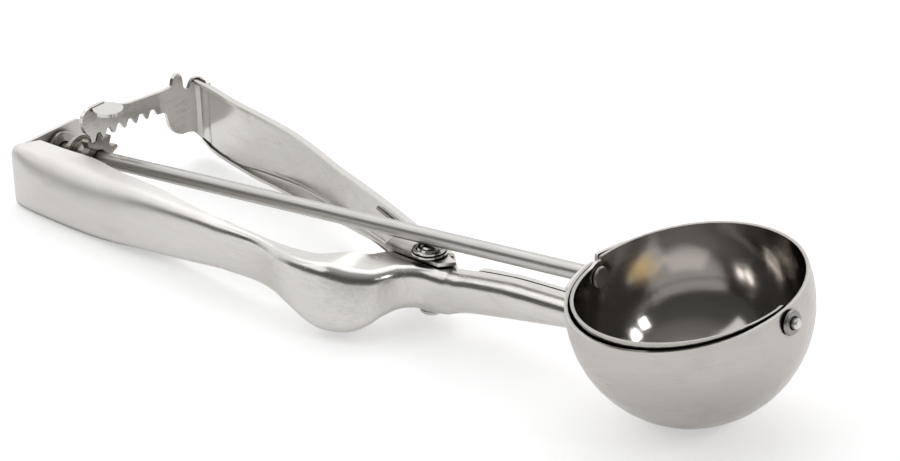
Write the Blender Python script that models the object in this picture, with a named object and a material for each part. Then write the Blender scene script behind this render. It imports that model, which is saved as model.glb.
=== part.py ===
"""A trigger ice cream scoop in pressed stainless steel, lying on its side.

Lengths are millimetres and angles are degrees until a mesh is made, which is in metres. The handle
frame has its origin on the pivot axis, half way up the handles. +X runs to the bowl, +Y from the main
handle to the trigger, and +Z is up. The rod frame has its X along the drive rod, and the bowl frame
has its Z along the bowl's own axis. The most skilful feature is the drive: the end of the trigger's
sheet is bent square and cut as a rack, which rolls a pinion on the rod and sweeps the scraper.
"""

import math

import bmesh
import bpy
import numpy as np
from mathutils import Matrix, Vector

MM = 0.001
GAP = 0.3
CHAMFER = 0.4
# How far a bore's cutter runs past the middle of the wall that it cuts, each way
CUTTER_REACH = 5.0

# The pivot stack, as heights above the middle of the handles
FOOT_BOTTOM = -8.2
FOOT_THICKNESS = 1.0
SHEET = 0.9
MAIN_EAR_TOP = 5.7
TRIGGER_EAR_TOP = 6.9
WASHER_THICKNESS = 0.5
SHANK_RADIUS = 2.0
RIVET_HEAD_RADIUS = 3.96
# The rings of the head's face, as (height over its underside, radius), from the rim to the middle
RIVET_HEAD_RINGS = [(0.35, RIVET_HEAD_RADIUS), (0.5, 3.3), (0.25, 3.05), (0.7, 2.7), (0.7, 2.1),
                    (0.45, 1.85), (0.9, 1.4)]
FOOT_RADIUS = 2.9
WASHER_RADIUS = 4.4
EAR_RADIUS = 6.0

# The drive rod and the pieces on it
ROD_TILT = 5.42
ROD_HEIGHT_AT_PIVOT = 11.25
ROD_RADIUS = 2.0
ROD_HEAD_RADIUS = 3.0
ROD_HEAD_THICKNESS = 0.9
ROD_FRONT_HEAD_RADIUS = 2.6
ROD_FRONT_HEAD_THICKNESS = 0.5
ROD_HEAD_CHAMFER = 0.35
PINION_TEETH = 10
PINION_WIDTH = 2.2
TOOTH_TIP_HEIGHT = 0.8
TOOTH_ROOT_DEPTH = 1.1
PINION_TOOTH_HALF_WIDTH = 0.6
RACK_TOOTH_HALF_WIDTH = 0.7
PINION_FLANK_ANGLE = 15
RACK_FLANK_ANGLE = 25
SLEEVE_RADIUS = 3.4
SLEEVE_LENGTH = 7.0
SLEEVE_DISC_RADIUS = 5.0
SLEEVE_DISC_THICKNESS = 1.2
SLEEVE_DISC_PLACE = 0.55
BUSH_RADIUS = 4.9
BUSH_THICKNESS = 1.4

# The rack: its places are millimetres along its sheet, counted from the rod towards the trigger
RACK_RADIUS = 109.9
RACK_SHEET = 1.0
RACK_PITCH = 3.5543
RACK_FIRST_SPACE = 0.8056
RACK_TEETH = 7
RACK_TOP = 11.5
RACK_LEVEL_START = 16.3
HEAD_TOP = 15.0
# Its sheet in plan: the ends of the arc, and past it (distance inside the radius, Y)
RACK_ARC = (-7.67, 22.06)
RACK_RUN = [(2.15, 24.4), (2.0, 28)]
RACK_END_INSET = 1.9
BEND_OUTSIDE = 35.2
BEND_RADIUS = 2.6
BEND_ARC_END = 100
BEND_END = (6.7, 34.4)
# The round tab off its head: its centre's distance inside the radius and its Y
TAB_CENTRE = (3.9, 1.5)
TAB_RADIUS = 3.8
TAB_ARC = 135
TAB_ROOT_INSET = 0.2
TAB_ROOT_TAPER = 0.3
TAB_DROP = 0.15
# Its outline as (place, height)
HEAD_LEFT = [(-4.5, 12.0), (-4.2, 10.3), (-3.5, 8.9), (-2.3, 7.7)]
HEAD_CREST = [(-4.5, 12.3), (-4.1, 13.7), (-3.0, 14.6), (-1.7, HEAD_TOP), (3.3, HEAD_TOP), (5.8, 13.6),
              (8.1, 12.5), (11.5, 11.7)]
LOBE = [(22.1, 5.6), (22.8, 4.9), (23.3, 2.9), (23.8, 0.9), (25.0, -0.9), (26.5, -2.0), (28.1, -2.7),
        (30.4, -3.0), (32.3, -3.6), (33.5, -4.7), (35.4, -6.6), (38.0, -8.0)]
LOBE_END = -8.4
NUB = [(25.5, 11.6), (25.9, 12.9), (26.5, 13.8), (27.4, 14.2), (28.4, 14.0), (29.1, 13.2), (29.45, 12.0),
       (29.6, 9.9)]
NOTCH = [(30.3, 8.95), (31.6, 8.7), (32.1, 9.4), (32.6, 10.1), (33.3, 10.9), (34.5, 11.0), (38.0, 10.8)]
BEND_TOP = 10.2

# The bowl and what is on it
BOWL_ON_ROD = 76.88
BOWL_RADIUS = 28.0
BOWL_WALL = 0.8
BOWL_ROLL = 8.12
BOWL_CENTRE_DROP = 1.19
BOWL_RIM_RISE = 3.39
SCRAPER_CLEARANCE = 0.75
SCRAPER_RADIUS = BOWL_RADIUS - BOWL_WALL - SCRAPER_CLEARANCE
SCRAPER_SHEET = 0.8
SCRAPER_WIDTH = 7.0
SCRAPER_NEAR_HUB_RADIUS = 4.0
SCRAPER_FAR_HUB_RADIUS = 3.6
BRACKET_SHEET = 0.9
BRACKET_NEAR_REACH = 20
BRACKET_FAR_REACH = 25
BRACKET_BOTTOM = -3.4
BRACKET_NEAR_TOP = 2.7
BRACKET_SLOT_TOP = 3.9
BRACKET_FAR_TOP = 2.7
# The slot in the rim: its two sides, its floor and top above the rod's axis, and its depth
RIM_SLOT = (0.1, 2.6)
SLOT_FLOOR = 1.2
SLOT_TOP = 12.0
SLOT_DEPTH = 8.0
FAR_PIN_RADIUS = 1.25
FAR_PIN_REACH = 2.3
FAR_PIN_HEAD_RADIUS = 2.6
FAR_PIN_HEAD_THICKNESS = 0.9
FAR_RING_RADIUS = 3.0
FAR_RING_THICKNESS = 0.7
FAR_RING_TAPER = 0.3
FAR_RING_CLEARANCE = 0.25

# The spring round the rivet
WIRE = 1.2
COIL_MEAN_RADIUS = 3.55
SPRING_WHOLE_TURNS = 4
SPRING_PITCH = 1.72
MAIN_LEG_END = (-36, -15.7)
TRIGGER_LEG_END = (-30, 15.6)

# The outlines below stretch behind the ears, so that the grip's first point stays at the end wall
END_WALL_BEHIND_RACK = 14.4
UNSTRETCHED = 15.0

# The main handle in plan: the outside of its back, then the free edge of its flanges
GRIP_BACK = [
    (-124.3, -9.6), (-126.2, -11.2), (-126.6, -13.2), (-124.2, -15.1), (-117.5, -16.7), (-110, -17.5),
    (-102, -17.9), (-90, -18.1), (-78, -17.8), (-66, -17.6), (-54, -17.2), (-43, -17),
    (-36.5, -17.6), (-28, -20.6), (-19, -24.2), (-12, -25.8),
]
HOOK_BACK = [(-6.4, -25.2), (-3.2, -22.7), (-2.7, -19.4), (-3.5, -15.2), (-4, -11.6), (-2.6, -8.6),
             (0.4, -6.7)]
NECK_BACK = [(4, -5.6), (9, -5.0), (16, -4.7), (30, -4.6), (56, -4.5)]
GRIP_LIP = [
    (-123.6, -7.6), (-113, -7.6), (-103, -7.2), (-94, -8.7), (-83, -10), (-71.5, -12),
    (-61, -13.6), (-45, -14.4), (-33, -15.6), (-25, -16), (-20, -15.2), (-14.3, -10.5),
]
MAIN_TOP = [(-124, 5.3), (-100, 5.3), (-90, 5.7), (-80, 6.1), (-70, 6.1), (-60, 6), (-50, 5.7),
            (-35, 6), (-25, 6.8), (-15, 7.4), (-7, 6.3), (0, 5.7), (8, 5.7), (14.5, 6.2), (56, 7.9)]
MAIN_BOTTOM = [(-124, -10.6), (-100, -10.7), (-90, -10.2), (-80, -9.1), (-70, -8.2), (-60, -7.2),
               (-50, -6.3), (-35, -6), (-25, -6.8), (-15, -7.4), (-7, -6.3), (0, -5.7), (6, -5.6),
               (14.5, -3.4), (24, -1.6), (41.6, 1.5), (56, 4.2)]
# The free edge of its two ears: two points, an arc about the pivot from one angle to another, two points
MAIN_EAR_REAR = [(-12.3, -7), (-10.4, -3.6)]
MAIN_EAR_ARC = (158, 40)
MAIN_EAR_FRONT = [(6.8, 1.6), (9, -0.2)]
# The ears are flat out to this radius, and reach the flanges' own height over the blend
EAR_FLAT_RADIUS = 12.6
EAR_BLEND = 4.5
END_WALL_SHEET = 1.0
END_WALL_NEAR = -12.5
END_WALL_REACH = 9.0
END_WALL_ROUND = 3.0
END_WALL_NEAR_CUT = (2.0, 2.6)
CORNER = [(-128, 1.3), (-122, 1.6), (-114, 2.7), (-106, 3), (-90, 3)]

# The neck: the bottom flange of the main handle rolls round and up to a seam
NECK_ROOT_WIDTH = 8.9
NECK_TIP_WIDTH = 7.6
NECK_SEAM = 5.0
SEAM_WIDTH = 0.5
NECK_CORNER = 2.3
# Where it rolls up and where it narrows, each as (start, length) along X
NECK_ROLL = (9, 5.5)
NECK_TAPER = (12, 36)

# The trigger in plan: the outside of its back, and the free edges of its two flanges
TRIGGER_BACK = [
    (-107.2, 35.6), (-99, 34.1), (-90.5, 32.4), (-76, 31.1), (-68.3, 30), (-59.6, 27.7),
    (-50, 24.4), (-31, 18), (-16, 12.3),
]
TRIGGER_EAR_BACK = [(-13.5, 11.3), (-10.5, 10.1), (-5, 8), (0.5, 5.8), (4.3, 4.3)]
TOP_LIP = [(-106.6, 32.6), (-98, 31), (-90, 29.3), (-76, 28), (-68, 26.9), (-59.8, 24.7), (-50, 21.4),
           (-31, 15), (-14.8, 9.1)]
BOTTOM_LIP = [(-106.9, 34.2), (-99, 32.6), (-91, 30.6), (-83, 28.4), (-76, 26.9), (-68, 24.8), (-60, 22.3),
              (-50, 20.2), (-40, 18.2), (-30, 15.7), (-20, 11.4), (-14.8, 8.1)]
TOP_EAR_EDGE = [(-12.9, 3), (-11.7, -2.6), (-4, -2.85), (5, -3), (8, 0)]
BOTTOM_EAR_EDGE = [(-12.9, 3), (-11.7, -2.4), (-3, -2.9), (1.2, -2.95), (6.5, 0)]
TRIGGER_TOP = [(-108, 10.7), (-100, 10.5), (-90, 10), (-80, 9.2), (-70, 8.3), (-60, 7.5), (-50, 7),
               (-40, 6.9), (10, 6.9)]
TRIGGER_BOTTOM = [(-108, -6.4), (-105.6, -7.7), (-103, -8.6), (-99, -9), (-90, -9), (-80, -8.6), (-70, -8),
                  (-60, -7.4), (-50, -7), (-40, -6.8), (-28, -6.4), (-20, -6.6), (-14, -6.9), (10, -6.9)]
TRIGGER_FOLD = 2.2
# Its back is cut away between the ears, over this rectangle in plan
WEB_CUT = ((-11.0, -8), (12, 16))
WEB_CUT_INSET = 0.05
# How many spans each straight side of an ear's free edge has
EAR_SPANS = (2, 3, 4, 3, 2)


# Shapes made of points

def stretched(points):
    """The outline's points, those behind the ears moved in step with the end wall."""
    stretch = (end_wall_outside() + UNSTRETCHED) / (GRIP_BACK[0][0] + UNSTRETCHED)
    return [((x + UNSTRETCHED) * stretch - UNSTRETCHED if x < -UNSTRETCHED else x, y) for x, y in points]


def smooth_curve(points, portions):
    """Points on the smooth curve through the given ones. Each portion is (spans, steps), evenly spaced."""
    given = [Vector(point) for point in points]
    padded = [2 * given[0] - given[1]] + given + [2 * given[-1] - given[-2]]
    fine = 16
    spans = []
    for a, b, c, d in zip(padded, padded[1:], padded[2:], padded[3:]):
        ts = [step / fine for step in range(fine + 1)]
        spans.append([0.5 * (2 * b + (c - a) * t + (2 * a - 5 * b + 4 * c - d) * t ** 2
                             + (3 * b - a - 3 * c + d) * t ** 3) for t in ts])
    found = []
    first = 0
    for count, steps in portions:
        dense = [point for span in spans[first:first + count] for point in span[:-1]]
        dense.append(spans[first + count - 1][-1])
        found += evenly(dense, steps)[bool(found):]
        first += count
    return found


def evenly(points, steps):
    """New points at even distances along the polyline."""
    points = [Vector(point) for point in points]
    lengths = [0.0]
    for a, b in zip(points, points[1:]):
        lengths.append(lengths[-1] + (b - a).length)
    targets = np.linspace(0, lengths[-1], steps + 1)
    axes = [np.interp(targets, lengths, [point[i] for point in points]) for i in range(len(points[0]))]
    return [Vector(values) for values in zip(*axes)]


def level(table):
    """A function that gives the stretched table's value at a place, smoothly between its points."""
    curve = smooth_curve(stretched(table), [(len(table) - 1, 8 * len(table))])
    places, values = zip(*curve)
    return lambda place: float(np.interp(place, places, values))


def arc(centre, radius, start, end, steps):
    """Points on a plan arc, both ends included."""
    angles = np.radians(np.linspace(start, end, steps + 1))
    return [Vector((centre[0] + radius * math.cos(a), centre[1] + radius * math.sin(a))) for a in angles]


def folded(corners, cuts, thickness, steps=4):
    """Outer and inner points of a sheet folded at the corners, each rounded by its cut length."""
    corners = [Vector(corner) for corner in corners]
    outer = [corners[0]]
    slopes = [corners[1] - corners[0]]
    for i, cut in enumerate(cuts, start=1):
        before, here, after = corners[i - 1:i + 2]
        cut = min(cut, (0.8 if i == 1 else 0.45) * (here - before).length,
                  (0.8 if i == len(cuts) else 0.45) * (after - here).length)
        a = here + (before - here).normalized() * cut
        b = here + (after - here).normalized() * cut
        for t in (step / steps for step in range(steps + 1)):
            outer.append((1 - t) ** 2 * a + 2 * t * (1 - t) * here + t ** 2 * b)
            slopes.append((1 - t) * (here - a) + t * (b - here))
    outer.append(corners[-1])
    slopes.append(corners[-1] - corners[-2])
    inner = [point + thickness * Vector((-slope.y, slope.x)).normalized()
             for point, slope in zip(outer, slopes)]
    return outer, inner


def inward_normals(points, side):
    """Unit normals of a plan curve, on its left for side 1 and on its right for side -1."""
    normals = []
    for i in range(len(points)):
        slope = (points[min(i + 1, len(points) - 1)] - points[max(i - 1, 0)]).normalized()
        normals.append(side * Vector((-slope.y, slope.x)))
    return normals


# Objects

def clear_scene():
    for item in list(bpy.data.objects):
        bpy.data.objects.remove(item, do_unlink=True)


def empty(name, parent=None, location=(0, 0, 0), rotation=(0, 0, 0)):
    """A frame that pieces are placed in."""
    item = bpy.data.objects.new(name, None)
    bpy.context.scene.collection.objects.link(item)
    item.parent = parent
    item.location = Vector(location) * MM
    item.rotation_euler = [math.radians(angle) for angle in rotation]
    return item


def mesh_object(name, shape, parent, material=None):
    """A named object made of a bmesh in millimetres, its faces turned outward."""
    bmesh.ops.remove_doubles(shape, verts=shape.verts, dist=1e-4)
    bmesh.ops.recalc_face_normals(shape, faces=shape.faces)
    if shape.calc_volume(signed=True) < 0:
        bmesh.ops.reverse_faces(shape, faces=shape.faces)
    bmesh.ops.scale(shape, verts=shape.verts, vec=(MM, MM, MM))
    mesh = bpy.data.meshes.new(name)
    shape.to_mesh(mesh)
    shape.free()
    item = bpy.data.objects.new(name, mesh)
    bpy.context.scene.collection.objects.link(item)
    item.parent = parent
    if material:
        mesh.materials.append(material)
        mesh.shade_smooth()
        mesh.set_sharp_from_angle(angle=math.radians(35))
    else:
        item.hide_render = True
        item.display_type = "WIRE"
    return item


def join(item, other, operation, solver="EXACT"):
    """Joins a helper to a piece, or cuts it away."""
    modifier = item.modifiers.new(other.name, "BOOLEAN")
    modifier.operation = operation
    modifier.solver = solver
    modifier.object = other


def loft(rings, closed=True):
    """A closed body through rings of points: each ring is one loop, and the two ends are capped."""
    shape = bmesh.new()
    rows = [[shape.verts.new(point) for point in ring] for ring in rings]
    count = len(rows[0])
    for low, high in zip(rows, rows[1:]):
        for i in range(count if closed else count - 1):
            j = (i + 1) % count
            shape.faces.new((low[i], low[j], high[j], high[i]))
    shape.faces.new(rows[0][::-1])
    shape.faces.new(rows[-1])
    return shape


def sheet_loft(stations):
    """A bent sheet through stations, each a pair of outer and inner point lists."""
    shape = bmesh.new()
    outers = [[shape.verts.new(point) for point in outer] for outer, _ in stations]
    inners = [[shape.verts.new(point) for point in inner] for _, inner in stations]
    last = len(outers[0]) - 1
    for k in range(len(stations) - 1):
        a, b, c, d = outers[k], outers[k + 1], inners[k], inners[k + 1]
        for i in range(last):
            shape.faces.new((a[i], a[i + 1], b[i + 1], b[i]))
            shape.faces.new((c[i], d[i], d[i + 1], c[i + 1]))
        shape.faces.new((a[0], b[0], d[0], c[0]))
        shape.faces.new((a[last], c[last], d[last], b[last]))
    for k in (0, -1):
        for i in range(last):
            shape.faces.new((outers[k][i], inners[k][i], inners[k][i + 1], outers[k][i + 1]))
    return shape


def turned(profile, segments=48):
    """A body turned about the local X axis from (place, radius) points, closed on the axis or as a ring."""
    shape = bmesh.new()
    rows = []
    for place, radius in profile:
        angles = [2 * math.pi * k / segments for k in range(segments)]
        if radius == 0:
            rows.append([shape.verts.new((place, 0, 0))])
        else:
            rows.append([shape.verts.new((place, radius * math.cos(a), radius * math.sin(a)))
                         for a in angles])
    is_ring = profile[0][1] > 0
    pairs = list(zip(rows, rows[1:])) + ([(rows[-1], rows[0])] if is_ring else [])
    for low, high in pairs:
        for k in range(segments):
            j = (k + 1) % segments
            corners = [low[k % len(low)], low[j % len(low)], high[j % len(high)], high[k % len(high)]]
            face = list(dict.fromkeys(corners))
            shape.faces.new(face)
    return shape


def upright(shape):
    """Turns a body made about X so that its axis is Z."""
    bmesh.ops.rotate(shape, verts=shape.verts, cent=(0, 0, 0), matrix=Matrix.Rotation(-math.pi / 2, 3, "Y"))
    return shape


def cylinder(name, parent, start, end, radius, segments=32, standing=False):
    """A cutter along the local X axis, or along Z."""
    shape = turned([(start, 0), (start, radius), (end, radius), (end, 0)], segments)
    return mesh_object(name, upright(shape) if standing else shape, parent)


def cut_bore(item, name, frame, place, pin_radius):
    """Bores a wall of the piece at a place along the frame's X axis, clear round the pin in it."""
    cutter = cylinder(name, frame, place - CUTTER_REACH, place + CUTTER_REACH, pin_radius + GAP)
    join(item, cutter, "DIFFERENCE")


def cut_pivot_bore(item, name, frame):
    """Bores both ears of a handle round the rivet's shank."""
    cutter = cylinder(name, frame, FOOT_BOTTOM, -FOOT_BOTTOM, SHANK_RADIUS + GAP, standing=True)
    join(item, cutter, "DIFFERENCE")


def box(name, parent, low, high):
    """A cutter between two corners."""
    shape = bmesh.new()
    bmesh.ops.create_cube(shape, size=1)
    size = Vector(high) - Vector(low)
    bmesh.ops.scale(shape, verts=shape.verts, vec=size)
    bmesh.ops.translate(shape, verts=shape.verts, vec=(Vector(high) + Vector(low)) / 2)
    return mesh_object(name, shape, parent)


def steel(name, colour, roughness):
    """A stainless steel finish."""
    material = bpy.data.materials.new(name)
    material.use_nodes = True
    shader = material.node_tree.nodes["Principled BSDF"]
    shader.inputs["Base Color"].default_value = (*colour, 1)
    shader.inputs["Metallic"].default_value = 1.0
    shader.inputs["Roughness"].default_value = roughness
    return material


# The bowl

def make_bowl(frame, rod_frame, material):
    """A turned shell, open at the rim, with a hole on each side for the rod and the far pin."""
    rim = BOWL_CENTRE_DROP + BOWL_RIM_RISE
    inside = BOWL_RADIUS - BOWL_WALL
    outer_edge = math.degrees(math.asin(rim / BOWL_RADIUS))
    inner_edge = math.degrees(math.asin(rim / inside))
    profile = [(p.y, p.x) for p in arc((0, 0), BOWL_RADIUS, -90, outer_edge, 14)]
    profile[0] = (-BOWL_RADIUS, 0)
    inner = [(p.y, p.x) for p in arc((0, 0), inside, inner_edge, -90, 14)]
    inner[-1] = (-inside, 0)
    bowl = mesh_object("bowl", upright(turned(profile + inner, 56)), frame, material)
    bowl.location.z = -BOWL_CENTRE_DROP * MM
    cut_bore(bowl, "bowl_near_bore", rod_frame, BOWL_ON_ROD - BOWL_RADIUS, ROD_RADIUS)
    join(bowl, rim_slot(rod_frame, "bowl_slot"), "DIFFERENCE")
    cut_bore(bowl, "bowl_far_bore", rod_frame, BOWL_ON_ROD + BOWL_RADIUS, FAR_PIN_RADIUS)
    return bowl


def make_scraper(frame, material):
    """A half hoop of strip just inside the bowl, rounded round the bores of its two hubs."""
    outer = SCRAPER_RADIUS
    hubs = [math.degrees(radius / outer) for radius in (SCRAPER_NEAR_HUB_RADIUS, SCRAPER_FAR_HUB_RADIUS)]
    angles = list(np.linspace(-hubs[0], hubs[0], 9))
    angles += list(np.linspace(hubs[0], 180 - hubs[1], 29))[1:-1]
    angles += list(np.linspace(180 - hubs[1], 180 + hubs[1], 9))
    stations = []
    for angle in angles:
        from_hub = min(angle, 180 - angle)
        hub = hubs[0] if angle < 90 else hubs[1]
        half = SCRAPER_WIDTH / 2
        if from_hub < hub:
            round_end = math.sqrt(max(1 - (from_hub / hub) ** 2, 0.02)) * math.radians(hub) * outer
            half = round_end if from_hub < 0 else max(round_end, half)
        centre = Vector((-math.cos(math.radians(angle)), -math.sin(math.radians(angle)), 0))
        spread = [half * share / outer for share in (-1, -0.5, 0, 0.5, 1)]
        rows = [[radius * (centre * math.cos(b) + Vector((0, 0, 1)) * math.sin(b)) for b in spread]
                for radius in (outer, outer - SCRAPER_SHEET)]
        stations.append(tuple(rows))
    scraper = mesh_object("scraper", sheet_loft(stations), frame, material)
    scraper.location.x = BOWL_ON_ROD * MM
    cut_bore(scraper, "scraper_near_bore", frame, BOWL_ON_ROD - SCRAPER_RADIUS, ROD_RADIUS)
    cut_bore(scraper, "scraper_far_bore", frame, BOWL_ON_ROD + SCRAPER_RADIUS, FAR_PIN_RADIUS)
    return scraper


def make_far_pin(frame, material):
    """The short pin that carries the scraper's far end, with its head inside the scraper."""
    hub_inside = BOWL_ON_ROD + SCRAPER_RADIUS - SCRAPER_SHEET
    tip = BOWL_ON_ROD + BOWL_RADIUS + FAR_PIN_REACH
    head = hub_inside - GAP
    face = head - FAR_PIN_HEAD_THICKNESS
    profile = [(face, 0), (face, FAR_PIN_HEAD_RADIUS - CHAMFER), (face + CHAMFER, FAR_PIN_HEAD_RADIUS),
               (head, FAR_PIN_HEAD_RADIUS), (head, FAR_PIN_RADIUS), (tip - CHAMFER, FAR_PIN_RADIUS),
               (tip, FAR_PIN_RADIUS - CHAMFER), (tip, 0)]
    return mesh_object("scraper_pin", turned(profile, 32), frame, material)


def make_far_ring(frame, material):
    """The ring round the far pin, on the outside of the bowl."""
    start = BOWL_ON_ROD + BOWL_RADIUS + FAR_RING_CLEARANCE
    end = start + FAR_RING_THICKNESS
    inside = FAR_PIN_RADIUS + GAP
    profile = [(start, inside), (start, FAR_RING_RADIUS), (end, FAR_RING_RADIUS - FAR_RING_TAPER),
               (end, inside)]
    return mesh_object("scraper_pin_washer", turned(profile, 32), frame, material)


def make_bracket(frame, rod_frame, material):
    """The curved plate outside the bowl that the rod comes through. Its far half stands above the rim."""
    inner = BOWL_RADIUS + GAP
    stations = []
    # The step in the top edge is inside the slot that is cut later
    slot = [math.degrees(math.asin((RIM_SLOT[0] + (RIM_SLOT[1] - RIM_SLOT[0]) * share) / inner))
            for share in (0.4, 0.6)]
    columns = [(angle, BRACKET_NEAR_TOP) for angle in np.linspace(-BRACKET_NEAR_REACH, slot[0], 9)]
    columns += zip(np.linspace(slot[1], BRACKET_FAR_REACH, 10),
                   np.linspace(BRACKET_SLOT_TOP, BRACKET_FAR_TOP, 10))
    for angle, top in columns:
        rows = []
        for radius in (inner + BRACKET_SHEET, inner):
            heights = [h + BOWL_CENTRE_DROP for h in np.linspace(BRACKET_BOTTOM, top, 5)]
            flats = [math.sqrt(radius ** 2 - h ** 2) for h in heights]
            turn = math.radians(180 - angle)
            rows.append([(f * math.cos(turn), f * math.sin(turn), h) for f, h in zip(flats, heights)])
        stations.append(tuple(rows))
    plate = mesh_object("bowl_bracket", sheet_loft(stations), frame, material)
    plate.location.z = -BOWL_CENTRE_DROP * MM
    join(plate, rim_slot(rod_frame, "bracket_slot"), "DIFFERENCE")
    cut_bore(plate, "bracket_bore", rod_frame, BOWL_ON_ROD - BOWL_RADIUS, ROD_RADIUS)
    return plate


def rim_slot(rod_frame, name):
    """The cutter for the slot that runs from the rod's bore up through the rim."""
    near = BOWL_ON_ROD - BOWL_RADIUS
    return box(name, rod_frame, (near - CUTTER_REACH, RIM_SLOT[0], SLOT_FLOOR),
               (near + SLOT_DEPTH, RIM_SLOT[1], SLOT_TOP))


# The rod and what turns or bears on it

def rod_place(plan_x):
    """The place along the rod above a plan X."""
    return plan_x / math.cos(math.radians(ROD_TILT))


def rod_height(plan_x):
    """The height of the rod's axis at a plan X."""
    return ROD_HEIGHT_AT_PIVOT + plan_x * math.tan(math.radians(ROD_TILT))


def end_wall_outside():
    """The plan X of the end wall's rear face."""
    return -RACK_RADIUS - END_WALL_BEHIND_RACK


def make_rod(frame, material):
    """The drive rod, peened over at both ends."""
    wall = rod_place(end_wall_outside()) - GAP - ROD_HEAD_RADIUS * math.tan(math.radians(ROD_TILT))
    hub = BOWL_ON_ROD - SCRAPER_RADIUS + SCRAPER_SHEET + GAP
    rear = wall - ROD_HEAD_THICKNESS
    front = hub + ROD_FRONT_HEAD_THICKNESS
    edge = ROD_HEAD_CHAMFER
    profile = [(rear, 0), (rear, ROD_HEAD_RADIUS - edge), (rear + edge, ROD_HEAD_RADIUS),
               (wall, ROD_HEAD_RADIUS), (wall, ROD_RADIUS), (hub, ROD_RADIUS), (hub, ROD_FRONT_HEAD_RADIUS),
               (front - edge, ROD_FRONT_HEAD_RADIUS), (front, ROD_FRONT_HEAD_RADIUS - edge), (front, 0)]
    return mesh_object("drive_rod", turned(profile, 40), frame, material)


def pinion_pitch_radius():
    """The radius at which the wheel's tooth pitch is the rack's."""
    return RACK_PITCH * PINION_TEETH / (2 * math.pi)


def pinion_place():
    """The wheel's middle along the rod, where the rack's arc crosses it."""
    return rod_place(-RACK_RADIUS)


def make_pinion(frame, material):
    """A straight toothed wheel. One tooth stands at the angle that meets a space of the rack."""
    pitch = pinion_pitch_radius()
    root = pitch - TOOTH_ROOT_DEPTH
    tip = pitch + TOOTH_TIP_HEIGHT
    spread = math.tan(math.radians(PINION_FLANK_ANGLE))
    # The rack's space nearest to the rod stands a little to +Y, so the wheel is turned to meet it
    phase = RACK_FIRST_SPACE / pitch
    rows = []
    place = pinion_place()
    for x in (place - PINION_WIDTH / 2, place + PINION_WIDTH / 2):
        ring = []
        for k in range(PINION_TEETH):
            middle = 2 * math.pi * k / PINION_TEETH + phase
            for radius, side in ((root, -1), (pitch, -1), (tip, -1), (tip, 1), (pitch, 1), (root, 1)):
                half = PINION_TOOTH_HALF_WIDTH - (radius - pitch) * spread
                angle = middle + side * half / radius
                ring.append((x, radius * math.sin(angle), radius * math.cos(angle)))
        rows.append(ring)
    pinion = mesh_object("pinion", loft(rows), frame, material)
    cut_bore(pinion, "pinion_bore", frame, place, ROD_RADIUS)
    return pinion


def make_sleeve(frame, material):
    """The spacer sleeve behind the pinion, with its disc."""
    front = pinion_place() - PINION_WIDTH / 2 - GAP
    rear = front - SLEEVE_LENGTH
    disc = front - SLEEVE_DISC_PLACE * SLEEVE_LENGTH
    disc_rear = disc - SLEEVE_DISC_THICKNESS
    inside = ROD_RADIUS + GAP
    profile = [(rear, inside), (rear, SLEEVE_RADIUS), (disc_rear, SLEEVE_RADIUS),
               (disc_rear, SLEEVE_DISC_RADIUS), (disc, SLEEVE_DISC_RADIUS), (disc, SLEEVE_RADIUS),
               (front, SLEEVE_RADIUS), (front, inside)]
    return mesh_object("spacer_sleeve", turned(profile, 40), frame, material)


def make_bush(frame, rod_frame, material):
    """The bearing bush inside the end wall. It stands square to the wall, with its bore along the rod."""
    rear = end_wall_outside() + END_WALL_SHEET + GAP
    front = rear + BUSH_THICKNESS
    profile = [(rear, 0), (rear, BUSH_RADIUS), (front - CHAMFER, BUSH_RADIUS),
               (front, BUSH_RADIUS - CHAMFER), (front, 0)]
    bush = mesh_object("rear_bush", turned(profile, 40), frame, material)
    bush.location.z = rod_height(rear) * MM
    cut_bore(bush, "rear_bush_bore", rod_frame, rod_place(rear), ROD_RADIUS)
    return bush


# The pivot

def make_rivet(frame, material):
    """The pivot rivet: ringed head above, shank, and a flat foot below."""
    head = TRIGGER_EAR_TOP + GAP + WASHER_THICKNESS + GAP
    foot = FOOT_BOTTOM + FOOT_THICKNESS
    profile = [(FOOT_BOTTOM, 0), (FOOT_BOTTOM, FOOT_RADIUS - CHAMFER), (FOOT_BOTTOM + CHAMFER, FOOT_RADIUS),
               (foot, FOOT_RADIUS), (foot, SHANK_RADIUS), (head, SHANK_RADIUS), (head, RIVET_HEAD_RADIUS)]
    profile += [(head + rise, radius) for rise, radius in RIVET_HEAD_RINGS]
    profile += [(head + RIVET_HEAD_RINGS[-1][0], 0)]
    return mesh_object("pivot_rivet", upright(turned(profile, 48)), frame, material)


def make_washer(frame, material):
    """The washer between the rivet's head and the trigger."""
    low = TRIGGER_EAR_TOP + GAP
    inside = SHANK_RADIUS + GAP
    profile = [(low, inside), (low, WASHER_RADIUS), (low + WASHER_THICKNESS, WASHER_RADIUS),
               (low + WASHER_THICKNESS, inside)]
    return mesh_object("pivot_washer", upright(turned(profile, 40)), frame, material)


def leg_angles(end):
    """The angle of a leg's end about the coil's axis, and how far round from it the leg meets the coil."""
    end = Vector(end)
    return math.atan2(end.y, end.x), math.acos(COIL_MEAN_RADIUS / end.length)


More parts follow.
